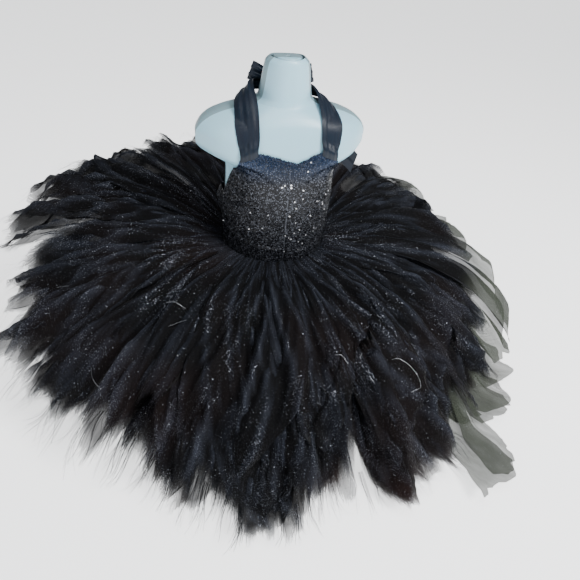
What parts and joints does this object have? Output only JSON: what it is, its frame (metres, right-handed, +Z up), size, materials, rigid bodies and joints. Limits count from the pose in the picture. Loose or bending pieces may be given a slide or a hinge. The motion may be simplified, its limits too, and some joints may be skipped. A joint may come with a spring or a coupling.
{
  "type": "halter tutu dress on a child's limbless torso dress form",
  "caption": "Toddler's halter dress with a sequin bodice, satin neck ties and a full layered tulle skirt, worn by a limbless torso form that stands on its flat base.",
  "frame": {"origin": "centre of the form's flat base, on the floor, midway between its side creases", "axes": "+Z up, the front of the dress faces -Y, +X towards the wearer's left"},
  "size_m": [0.9586, 0.8127, 0.545],
  "materials": {
    "form_plastic": "pale blue-grey white moulded plastic, softly glossy",
    "sequin_cloth": "black cloth covered with tiny black and silver sequins",
    "satin_ribbon": "black satin ribbon with a blue sheen",
    "tulle": "sheer black tulle with fine silver glitter"
  },
  "bodies": {
    "root": {"dress_form": "form_plastic", "bodice_front": "sequin_cloth", "bodice_back": "sequin_cloth", "strap_left": "satin_ribbon", "strap_right": "satin_ribbon", "bow_knot": "satin_ribbon", "bow_loop_left": "satin_ribbon", "bow_loop_right": "satin_ribbon", "bow_tail_left": "satin_ribbon", "bow_tail_right": "satin_ribbon", "tulle_top_01": "tulle", "tulle_top_02": "tulle", "tulle_top_03": "tulle", "tulle_top_04": "tulle", "tulle_top_05": "tulle", "tulle_top_06": "tulle", "tulle_top_07": "tulle", "tulle_top_08": "tulle", "tulle_top_09": "tulle", "tulle_top_10": "tulle", "tulle_top_11": "tulle", "tulle_top_12": "tulle", "tulle_top_13": "tulle", "tulle_top_14": "tulle", "tulle_middle_01": "tulle", "tulle_middle_02": "tulle", "tulle_middle_03": "tulle", "tulle_middle_04": "tulle", "tulle_middle_05": "tulle", "tulle_middle_06": "tulle", "tulle_middle_07": "tulle", "tulle_middle_08": "tulle", "tulle_middle_09": "tulle", "tulle_middle_10": "tulle", "tulle_middle_11": "tulle", "tulle_middle_12": "tulle", "tulle_middle_13": "tulle", "tulle_middle_14": "tulle", "tulle_lower_01": "tulle", "tulle_lower_02": "tulle", "tulle_lower_03": "tulle", "tulle_lower_04": "tulle", "tulle_lower_05": "tulle", "tulle_lower_06": "tulle", "tulle_lower_07": "tulle", "tulle_lower_08": "tulle", "tulle_lower_09": "tulle", "tulle_lower_10": "tulle", "tulle_lower_11": "tulle", "tulle_lower_12": "tulle", "tulle_lower_13": "tulle", "tulle_lower_14": "tulle"}
  },
  "joints": []
}
